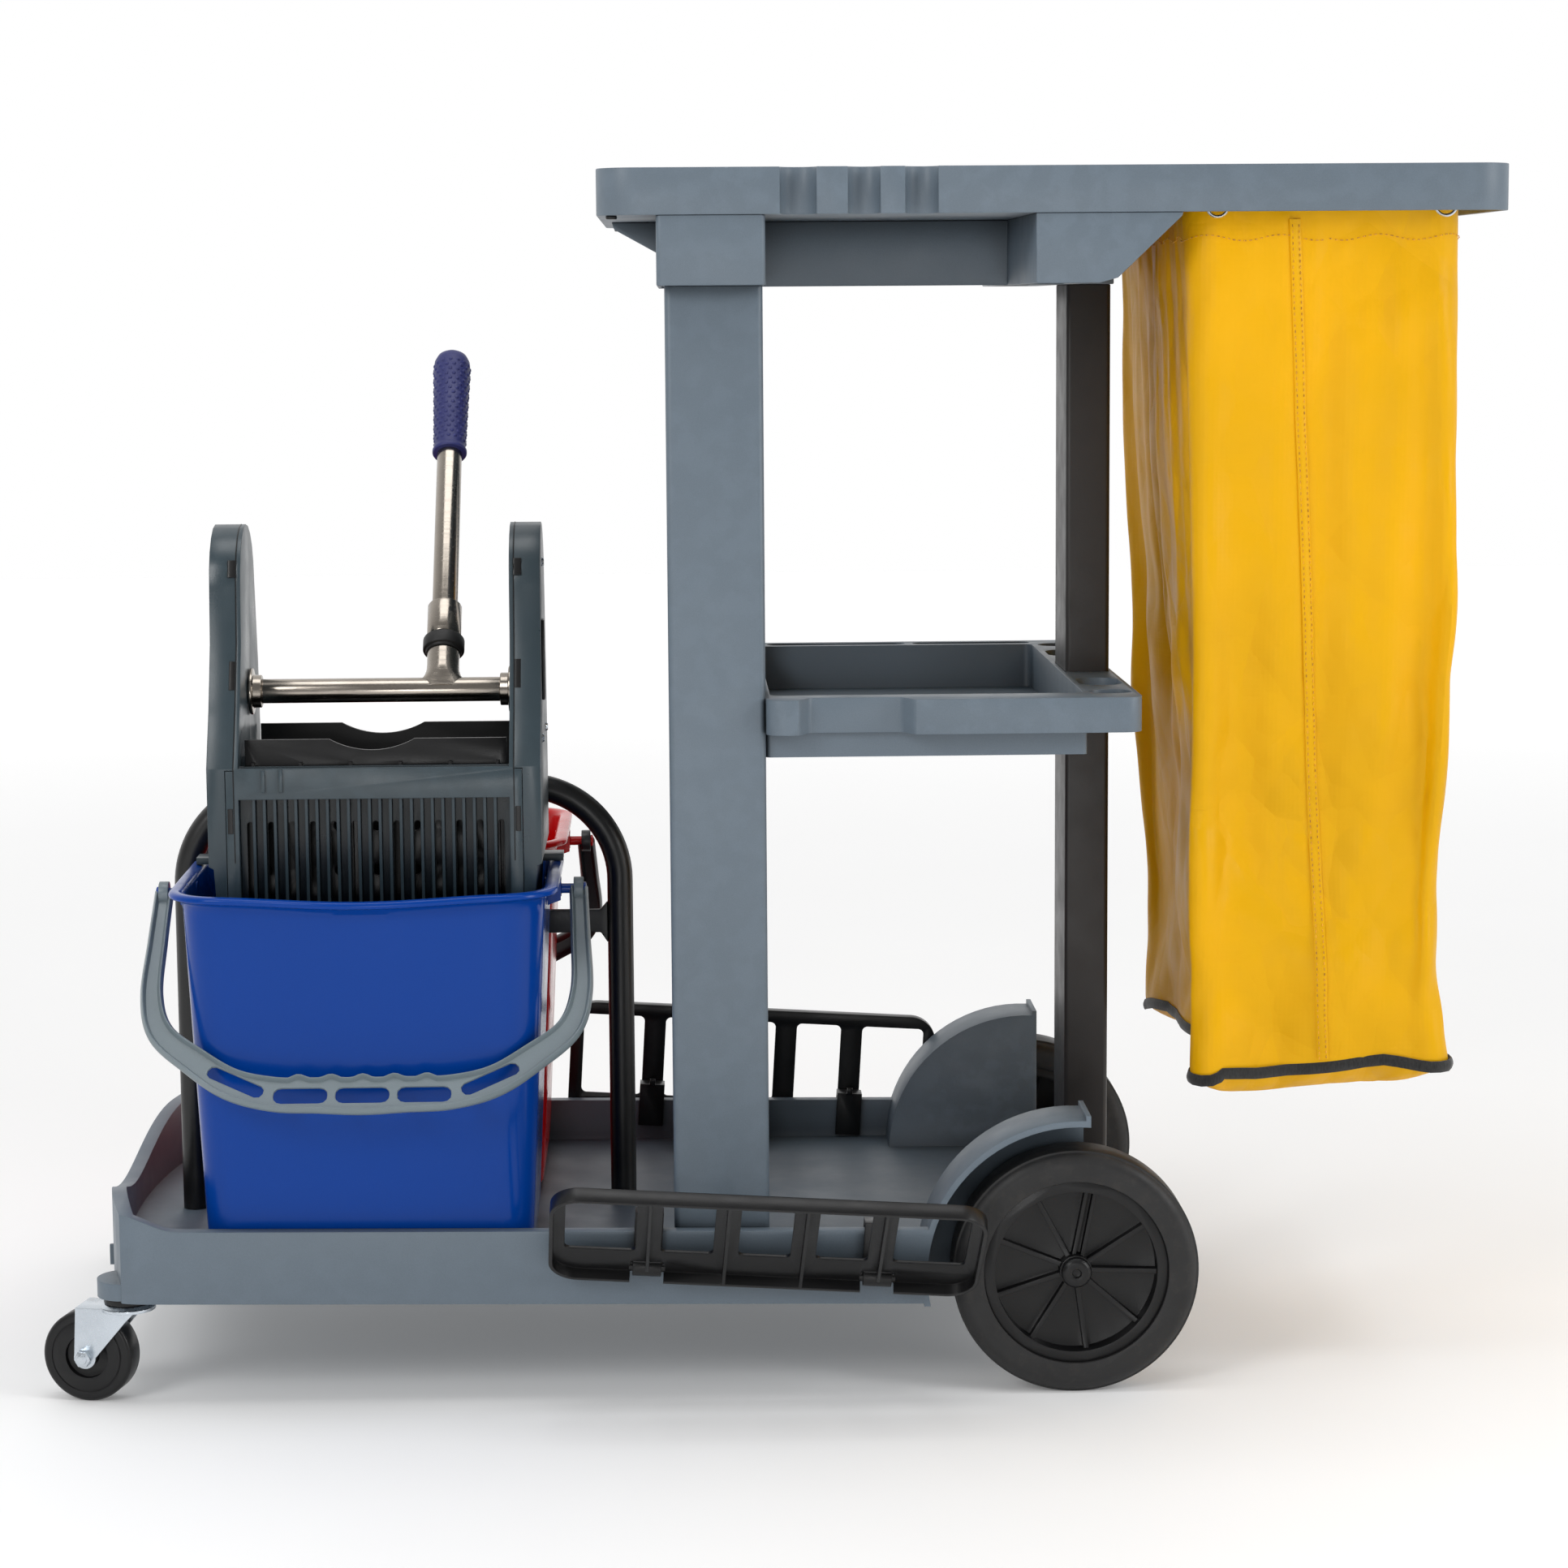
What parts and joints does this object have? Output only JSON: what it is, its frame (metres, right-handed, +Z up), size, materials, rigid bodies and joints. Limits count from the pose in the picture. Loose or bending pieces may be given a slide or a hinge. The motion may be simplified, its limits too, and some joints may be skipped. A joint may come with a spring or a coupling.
{
  "type": "janitor cart with mop buckets and wringer",
  "caption": "Cleaning cart: wheeled deck with posts, shelf, tray and fabric bag, lift-off buckets with bails and a lever wringer.",
  "frame": {"origin": "on the ground under the middle of the whole cart at rest, with the near rack leaning out", "axes": "+Z up, +X towards the bag end, -X towards the buckets, +Y away from the blue bucket's side"},
  "size_m": [1.1777, 0.6293, 0.984],
  "materials": {
    "cart_plastic": "fine moulded grain",
    "dark_post": "satin dark grey",
    "black_metal": "satin black",
    "black_plastic": "moulded black",
    "tyre_rubber": "smooth black",
    "zinc": "bright zinc plate",
    "steel": "polished tube",
    "blue_plastic": "glossy moulded",
    "red_plastic": "glossy moulded",
    "bail_plastic": "semi gloss moulded",
    "bail_dark": "semi gloss moulded",
    "slate_plastic": "semi gloss moulded",
    "navy_rubber": "dotted grip",
    "black_rubber": "matt",
    "bag_fabric": "coated nylon weave",
    "black_tape": "woven tape"
  },
  "bodies": {
    "chassis": {"deck": "cart_plastic", "front_post_near": "cart_plastic", "front_post_far": "cart_plastic", "rear_post": "dark_post", "top_tray": "cart_plastic", "under_tray_frame": "cart_plastic", "tray_feet": "black_plastic", "middle_shelf": "cart_plastic", "hoop": "black_metal", "hoop_crossbar": "black_metal", "rear_axle": "steel", "caster_boss_near": "black_plastic", "caster_boss_far": "black_plastic", "rack_clips_near": "black_plastic", "rack_clips_far": "black_plastic", "bag": "bag_fabric", "bag_binding": "black_tape", "bag_pegs": "black_plastic", "bag_rings": "zinc"},
    "wheel_near": {"tyre_near": "tyre_rubber", "rim_near": "black_plastic", "hub_cap_near": "black_plastic"},
    "wheel_far": {"tyre_far": "tyre_rubber", "rim_far": "black_plastic", "hub_cap_far": "black_plastic"},
    "caster_near": {"caster_fork_near": "zinc", "caster_bolt_near": "zinc"},
    "caster_far": {"caster_fork_far": "zinc", "caster_bolt_far": "zinc"},
    "roller_near": {"caster_wheel_near": "black_plastic"},
    "roller_far": {"caster_wheel_far": "black_plastic"},
    "rack_near": {"side_rack_near": "black_plastic"},
    "rack_far": {"side_rack_far": "black_plastic"},
    "blue_bucket": {"bucket_blue": "blue_plastic"},
    "blue_bail": {"bail_blue": "bail_plastic"},
    "red_bucket": {"bucket_red": "red_plastic"},
    "red_bail": {"bail_red": "bail_dark"},
    "wringer": {"wringer_body": "slate_plastic", "wringer_cover_left": "slate_plastic", "wringer_cover_right": "slate_plastic", "wringer_latches": "black_plastic", "cover_screws": "zinc"},
    "lever": {"cross_shaft": "steel", "shaft_hubs": "steel", "shaft_cams": "zinc", "lever_socket": "steel", "lever_collar": "steel", "lever_ring": "black_rubber", "lever_tube": "steel", "lever_grip": "navy_rubber"},
    "press_front": {"press_plate_front": "black_plastic"},
    "press_back": {"press_plate_back": "black_plastic"}
  },
  "joints": [
    {"name": "wheel_near_spin", "type": "hinge", "parent": "chassis", "child": "wheel_near", "pos_m": [0.2506, -0.187, 0.1], "axis": [0, 1, 0], "continuous": true},
    {"name": "wheel_far_spin", "type": "hinge", "parent": "chassis", "child": "wheel_far", "pos_m": [0.2506, 0.263, 0.1], "axis": [0, 1, 0], "continuous": true},
    {"name": "caster_near_swivel", "type": "hinge", "parent": "chassis", "child": "caster_near", "pos_m": [-0.517, -0.184, 0.08], "axis": [0, 0, 1], "continuous": true},
    {"name": "caster_far_swivel", "type": "hinge", "parent": "chassis", "child": "caster_far", "pos_m": [-0.517, 0.26, 0.08], "axis": [0, 0, 1], "continuous": true},
    {"name": "caster_near_roll", "type": "hinge", "parent": "caster_near", "child": "roller_near", "pos_m": [-0.54818, -0.1768, 0.0375], "axis": [0.225, 0.9744, 0], "continuous": true},
    {"name": "caster_far_roll", "type": "hinge", "parent": "caster_far", "child": "roller_far", "pos_m": [-0.54818, 0.2672, 0.0375], "axis": [0.225, 0.9744, 0], "continuous": true},
    {"name": "rack_near_fold", "type": "hinge", "parent": "chassis", "child": "rack_near", "pos_m": [-0.0035, -0.224, 0.109], "axis": [-0.9981, 0, 0.061], "range_deg": [0, 44]},
    {"name": "rack_far_fold", "type": "hinge", "parent": "chassis", "child": "rack_far", "pos_m": [-0.0035, 0.3, 0.109], "axis": [-0.9981, 0, 0.061], "range_deg": [0, 44]},
    {"name": "blue_bucket_lift", "type": "slide", "parent": "chassis", "child": "blue_bucket", "axis": [0, 0, 1], "range_m": [0, 0.2]},
    {"name": "red_bucket_lift", "type": "slide", "parent": "chassis", "child": "red_bucket", "axis": [0, 0, 1], "range_m": [0, 0.2]},
    {"name": "blue_bail_swing", "type": "hinge", "parent": "blue_bucket", "child": "blue_bail", "pos_m": [-0.32, -0.097, 0.402], "axis": [-1, 0, 0], "range_deg": [0, 100]},
    {"name": "red_bail_swing", "type": "hinge", "parent": "red_bucket", "child": "red_bail", "pos_m": [-0.32, 0.173, 0.402], "axis": [1, 0, 0], "range_deg": [0, 140]},
    {"name": "wringer_lift", "type": "slide", "parent": "blue_bucket", "child": "wringer", "axis": [0, 0, 1], "range_m": [0, 0.17]},
    {"name": "lever_pull", "type": "hinge", "parent": "wringer", "child": "lever", "pos_m": [-0.31, -0.08, 0.566], "axis": [1, 0, 0], "range_deg": [0, 95]},
    {"name": "press_front_slide", "type": "slide", "parent": "wringer", "child": "press_front", "axis": [0, 1, 0], "range_m": [0, 0.038]},
    {"name": "press_back_slide", "type": "slide", "parent": "wringer", "child": "press_back", "axis": [0, -1, 0], "range_m": [0, 0.038]}
  ],
  "couplings": [
    {"joint": "press_front_slide", "follows": "lever_pull", "m_per_rad": 0.0229},
    {"joint": "press_back_slide", "follows": "lever_pull", "m_per_rad": 0.0229}
  ]
}
